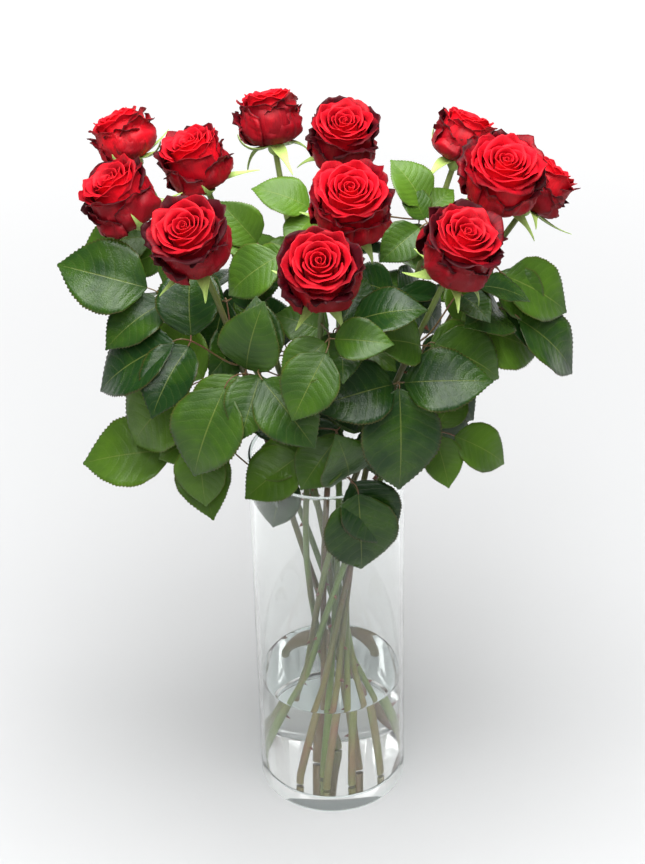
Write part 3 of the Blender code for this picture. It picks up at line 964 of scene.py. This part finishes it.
def stem_thorns(master, centres, joints, top, chance):
    """Thorns up a stem as far as its top, none of them near a leaf's joint."""
    thorns = []
    heights = [chance.uniform(UPPER_THORNS_FROM, top) for _ in range(UPPER_THORNS)]
    heights += [chance.uniform(*LOWER_THORNS_FROM_TO) for _ in range(LOWER_THORNS)]
    for place in heights:
        if any(abs(place - joint) < BARE_JOINT for joint in joints):
            continue
        point = stem_at(centres, place)
        run = (stem_at(centres, place + 0.01) - point).normalized()
        out = Vector((math.cos(chance.uniform(0, WHOLE_TURN)), math.sin(chance.uniform(0, WHOLE_TURN)), 0))
        out.normalize()
        out = (out - run * out.dot(run)).normalized()
        turn = Matrix((out, run.cross(out), run)).transposed().to_4x4()
        size = chance.uniform(0.75, 1.15)
        thorn = copy_of(master, "thorn")
        thorn.matrix_world = Matrix.Translation(point + out * 0.0025) @ turn @ Matrix.Scale(size, 4)
        thorns.append(thorn)
    return thorns


def stem(rose, masters, finishes, joints, seed):
    """A stem with its joints and thorns, the green cup and its sepals, as one piece."""
    base, axis = bloom_place(rose)[:2]
    neck = base - axis * CUP_HEIGHT
    centres = stem_centres(rose, neck)
    chance = random.Random(seed)
    placed = Matrix.Translation(neck) @ axis.to_track_quat("Z", "Y").to_matrix().to_4x4()

    shaft = stem_shaft(centres, joints)
    cup = green_cup()
    cup.matrix_world = placed
    green = stem_sepals(masters["sepal"], np.array(placed), chance)
    thorns = stem_thorns(masters["thorn"], centres, joints, neck.z - BARE_NECK, chance)

    # Each part's finish, and the shade that it carries
    parts = [(shaft, 0, STEM_BLUSH[rose]), (cup, 1, 0.0), (green, 1, 0.0)]
    parts += [(thorn, 2, 1.0) for thorn in thorns]
    for part, finish, shade in parts:
        dress(part, finishes, finish)
        carry(part, shade=shade)
    piece = joined([shaft, cup, green] + thorns, "rose_stem_" + rose)
    smooth(piece, degrees=55)
    finished(piece, "stem_green", "stem_" + rose)
    return centres


# ------------------------ leaves

def across_line(direction, near):
    """The unit vector at right angles to a direction that lies nearest to another vector."""
    return (near - direction * near.dot(direction)).normalized()


def cubic(points, t):
    """The point at t on the Bezier curve of four control points."""
    s = 1.0 - t
    shares = (s * s * s, 3 * s * s * t, 3 * s * t * t, t * t * t)
    return sum((point * share for point, share in zip(points, shares)), Vector())


def leaflet_master():
    """A flat toothed leaflet, one long and one wide at its widest, base at the origin, along +Y."""
    blade = flat_grid("leaflet_master", BLADE_ACROSS, BLADE_ALONG)
    points = points_of(blade)
    u, v = points[:, 0].copy(), (points[:, 1] + 1) / 2
    stations = (0.0, 0.04, 0.15, 0.30, 0.42, 0.58, 0.74, 0.87, 0.95, 1.0)
    widths = (0.03, 0.34, 0.76, 0.97, 1.0, 0.92, 0.66, 0.34, 0.11, 0.012)
    width = np.interp(v, np.linspace(0, 1, 120), smooth_line(stations, widths, 120))
    row = np.round(v * BLADE_ALONG).astype(int)
    edge = np.abs(u) > 0.999
    tooth = np.where(row % 2 == 1, 0.024, -0.010) * np.clip(width * 2, 0, 1) * np.clip(v * 12, 0, 1)
    half = 0.5 * width * np.abs(u) ** 0.92 + np.where(edge, 0.5 * tooth, 0)
    forward = np.where(edge & (row % 2 == 1), 0.010, 0.0)
    points[:, 0] = np.sign(u) * half
    points[:, 1] = v + forward
    points[:, 2] = 0
    set_points(blade, points)
    return blade


def smooth_line(stations, values, count):
    """A smooth curve through values at stations, sampled evenly."""
    even = np.linspace(0, 1, count)
    line = np.interp(even, stations, values)
    soft = np.convolve(np.pad(line, 4, mode="edge"), np.hanning(9) / np.hanning(9).sum(), mode="valid")
    soft[0], soft[-1] = line[0], line[-1]
    return soft


def leaflet(master, base, tip, normal, tone_and_painted_shade, chance):
    """Lay a copy of the leaflet from its base to its tip: arched, folded along the midrib,
    waved at its edges and turned down at its tip."""
    along = tip - base
    length = along.length
    along.normalize()
    across = along.cross(normal)
    piece = copy_of(master, "leaflet")
    flat = points_of(master)
    u, v = flat[:, 0], flat[:, 1]
    wide = LEAF_WIDTH * length * chance.uniform(0.92, 1.06)
    fold = chance.uniform(0.10, 0.30)
    arch = LEAF_ARCH * chance.uniform(0.7, 1.3)
    twist = chance.uniform(-0.25, 0.25)
    wave = chance.uniform(0.014, 0.036)
    phase = chance.uniform(0, WHOLE_TURN)
    rows = v - 0.25 * np.abs(2 * u) ** 1.25 * 0.8
    quilt = 0.004 * np.abs(u) * np.cos(2 * math.pi * VEIN_PAIRS * rows)
    lift = arch * 4 * v * (1 - v) - 0.10 * np.clip(v - 0.78, 0, 1) ** 1.5
    lift = lift + fold * np.abs(u) * (1 - 0.5 * v) - 0.25 * fold * 0.5
    lift = lift + wave * np.sin(9.0 * v + phase + np.sign(u) * 0.9) * (2 * np.abs(u)) ** 2
    lift = lift + twist * u * v * 0.6
    lift = lift + quilt
    points = np.array(base) + np.outer(v * length, np.array(along))
    points = points + np.outer(u * wide, np.array(across)) + np.outer(lift * length, np.array(normal))
    set_points(piece, points)
    carry(piece, shade=min(max(tone_and_painted_shade + chance.uniform(-0.15, 0.15), 0), 1))
    return piece


def stalk_tube(points, thick):
    """A thin round stalk through points, thinner towards its end."""
    line, spots = new_line("POLY", len(points))
    for k, (spot, co) in enumerate(zip(spots, points)):
        spot.co = (*co, 1.0)
        spot.radius = thick * (1.35 if k == 0 else 1.0 - 0.45 * k / len(points))
    tube = tube_of(line, 1)
    carry(tube, shade=0.8)
    return tube


def leaf(name, row, centres, master, finishes, seed):
    """A rose leaf: the stalk, the end leaflet and the side leaflets in pairs."""
    rose, height, base, tip, roll, pairs = row
    chance = random.Random(seed)
    base, tip = Vector(base), Vector(tip)
    joint = stem_at(centres[rose], height)
    along = (tip - base).normalized()
    away = Vector((tip.x, tip.y, 0.0)).normalized()
    facing = Vector((0.0, -FRONT_TURN if tip.y < 0.1 else 0.0, 1.0)) + away * 0.3
    normal = Matrix.Rotation(math.radians(roll), 3, along) @ across_line(along, facing)
    outward = base - joint
    outward.z = 0.0
    outward.normalize()
    start = joint + outward * (FOOT_RADIUS + STALK / 2 + 2 * CLEARANCE)
    reach = (base - start).length
    rising = (outward + Vector((0.0, 0.0, 0.5))).normalized()
    stalk = (start, start + rising * reach * 0.3, base - along * reach * 0.3, base)

    line = [joint] + [cubic(stalk, k / (STALK_POINTS - 1)) for k in range(STALK_POINTS)]
    tubes = [stalk_tube(line, STALK_SHOWN / 2)]
    inner = row in INNER_LEAVES
    # Leaves deep among the stems take the darkest tone: painted shade for where they lie in the bouquet's
    # shadow
    tone_and_painted_shade = 1.0 if inner else LEAF_TONES.get(name, chance.uniform(0, 1))
    blades = [leaflet(master, base, tip, normal, tone_and_painted_shade, chance)]
    stations = (0.0, 0.42, 0.76) if pairs == 2 else (0.0, 0.35, 0.68)
    length = (tip - base).length * SIDE_LEAFLET
    for share in stations[len(stations) - pairs:]:
        ahead = (cubic(stalk, min(share + 0.02, 1.0)) - cubic(stalk, max(share - 0.02, 0.0))).normalized()
        lift = across_line(ahead, normal)
        side = ahead.cross(lift)
        point = cubic(stalk, share) + ahead * STALK / 2
        for hand in (1, -1):
            way = ahead * math.cos(SIDE_ANGLE) + side * hand * math.sin(SIDE_ANGLE)
            way = (way - Vector((0.0, 0.0, SIDE_DROOP)) - normal * SIDE_BEHIND).normalized()
            foot = point + way * STALK * 2
            face = across_line(way, facing)
            blades.append(leaflet(master, foot, foot + way * length, face, tone_and_painted_shade, chance))
            tubes.append(stalk_tube([point, point + way * STALK, foot + way * 0.001], STALK_SHOWN / 2.4))

    blade = joined(blades, "blades")
    dress(blade, finishes)
    thicken(blade, LEAF_THICKNESS, 1)
    for tube in tubes:
        dress(tube, finishes, 2)
    piece = joined([blade] + tubes, "rose_" + name)
    piece.data.shade_smooth()
    finished(piece, "leaf_green", *([] if inner else [name]))


# ------------------------ room

def camera():
    """Camera that looks down at the bouquet."""
    made = bpy.data.cameras.new("camera")
    made.lens = CAMERA_LENS
    made.sensor_width = 36.0
    made.clip_end = 50.0
    view = bpy.data.objects.new("camera", made)
    view.matrix_world = (Matrix.Translation(CAMERA_PLACE)
                         @ Matrix.Rotation(math.radians(90 - CAMERA_DOWN), 4, "X")
                         @ Matrix.Rotation(CAMERA_ROLL, 4, "Z"))
    bpy.context.scene.collection.objects.link(view)
    bpy.context.scene.camera = view


def lamp(name, place, aim, size, watts):
    """A soft square lamp aimed at a point."""
    made = bpy.data.lights.new(name, "AREA")
    made.shape = "SQUARE"
    made.size = size
    made.energy = watts
    placed = bpy.data.objects.new(name, made)
    placed.location = place
    placed.rotation_euler = (Vector(aim) - Vector(place)).to_track_quat("-Z", "Y").to_euler()
    bpy.context.scene.collection.objects.link(placed)


def room():
    """Pale floor that glows far away, soft lamps and an even white sky."""
    all_off()
    bpy.ops.mesh.primitive_plane_add(size=FLOOR_SIZE, location=(0, 0, FLOOR_LEVEL))
    bpy.ops.object.transform_apply(location=True)
    floor = bpy.context.active_object
    floor.name = "studio_floor"
    material, tree, shader = new_material(
        "studio_white", Base_Color=(0.59, 0.595, 0.60), Roughness=0.9, Specular_IOR_Level=0.1)
    away = node(tree, "ShaderNodeVectorMath", operation="LENGTH")
    feed(away.inputs[0], own_place(tree))
    far = between(away.outputs["Value"], *GLOW_FROM_TO)
    path = node(tree, "ShaderNodeLightPath")
    through = between(path.outputs["Is Transmission Ray"], 0.0, 1.0, 1.0, THROUGH_GLASS)
    seen = between(path.outputs["Is Diffuse Ray"], 0.0, 1.0, through, FLOOR_FILL)
    feed(shader.inputs["Emission Strength"], seen)
    feed(shader.inputs["Emission Color"], blend_colours(far, NEAR_GLOW, FAR_GLOW))
    floor.data.materials.append(material)

    world = bpy.data.worlds.new("studio")
    world.use_nodes = True
    tree = world.node_tree
    sky = tree.nodes["Background"]
    sky.inputs["Color"].default_value = (1.0, 1.0, 1.0, 1.0)
    path = node(tree, "ShaderNodeLightPath")
    through = between(path.outputs["Is Transmission Ray"], 0.0, 1.0, SKY_FILL, THROUGH_GLASS)
    seen = between(path.outputs["Is Camera Ray"], 0.0, 1.0, through, FAR_GLOW[0])
    feed(sky.inputs["Strength"], seen)
    bpy.context.scene.world = world
    lamp("key", (-0.10, -1.35, 1.75), (0, 0, 0.45), 0.9, 15)
    lamp("top", (0.0, -0.12, 1.85), (0.0, 0.0, 0.3), 1.3, 56)
    bpy.context.scene.view_settings.view_transform = "Standard"


def vase_with_water():
    """The vase and the water in it."""
    clear = (0.985, 0.995, 0.99)
    glass_skin = clear_material("vase glass", clear, deep=(0.86, 0.93, 0.91), depth=0.016,
                                ior=1.5, ripple=0.05)
    water_skin = clear_material("vase water", clear, deep=(0.97, 0.99, 0.985), depth=0.03,
                                ior=1.333, ripple=0.02)
    vase(glass_skin)
    water(water_skin)


def all_blooms():
    """The twelve blooms."""
    velvet = petal_group()
    skins = (petal_material("petal face", velvet, bright=(0.86, 0.004, 0.014), deep=(0.20, 0.001, 0.006),
                            sheen=0.15, shine=0.20),
             petal_material("petal back", velvet, bright=(0.54, 0.003, 0.012), deep=(0.045, 0.001, 0.004),
                            sheen=0.06, shine=0.14))
    blank = flat_grid("petal_blank", PETAL_ACROSS, PETAL_ALONG)
    for number, rose in enumerate(ROSES):
        bloom(rose, blank, skins, OPENNESS.get(rose, 1.0), SEEDS["bloom"] + number)
    bpy.data.objects.remove(blank, do_unlink=True)


def all_stems():
    """The twelve stems; hands back their centres by rose."""
    skins = (stem_material("stem skin", green=(0.085, 0.150, 0.030), brown=(0.085, 0.032, 0.018),
                           lean_to_brown=0.75, pale=(0.22, 0.30, 0.07)),
             stem_material("sepal green", green=(0.36, 0.50, 0.13), brown=(0.26, 0.38, 0.09),
                           lean_to_brown=0.2),
             stem_material("thorn brown", green=(0.17, 0.05, 0.025), brown=(0.11, 0.03, 0.02),
                           lean_to_brown=0.4))
    masters = {"sepal": flat_grid("sepal_blank", 6, 16), "thorn": thorn_master()}
    centres = {}
    for number, rose in enumerate(ROSES):
        joints = [row[1] for row in LEAVES if row[0] == rose]
        centres[rose] = stem(rose, masters, skins, joints, SEEDS["stem"] + number)
    for master in masters.values():
        bpy.data.objects.remove(master, do_unlink=True)
    return centres


def all_leaves(centres):
    """The leaves on the stems, and the small ones deep among them."""
    veins = leaf_group()
    skins = (leaf_material("leaf top", veins, light=(0.080, 0.168, 0.013), dark=(0.008, 0.032, 0.005),
                           vein_colour=(0.22, 0.26, 0.060), rough=0.32, bump=0.30),
             leaf_material("leaf underside", veins, light=(0.17, 0.26, 0.12), dark=(0.11, 0.18, 0.08),
                           vein_colour=(0.24, 0.30, 0.15), rough=0.55, bump=0.45),
             stem_material("leaf stalk", green=(0.13, 0.13, 0.04), brown=(0.15, 0.05, 0.03),
                           lean_to_brown=0.7))
    blade = leaflet_master()
    for number, row in enumerate(LEAVES, start=1):
        leaf(f"leaf_{number:02d}", row, centres, blade, skins, SEEDS["leaf"] + number)
    for number, row in enumerate(INNER_LEAVES, start=1):
        leaf(f"inner_leaf_{number}", row, centres, blade, skins, SEEDS["inner_leaf"] + number)
    bpy.data.objects.remove(blade, do_unlink=True)


def main():
    """The room first, then the bouquet from the vase up."""
    camera()
    room()
    vase_with_water()
    all_blooms()
    all_leaves(all_stems())


main()
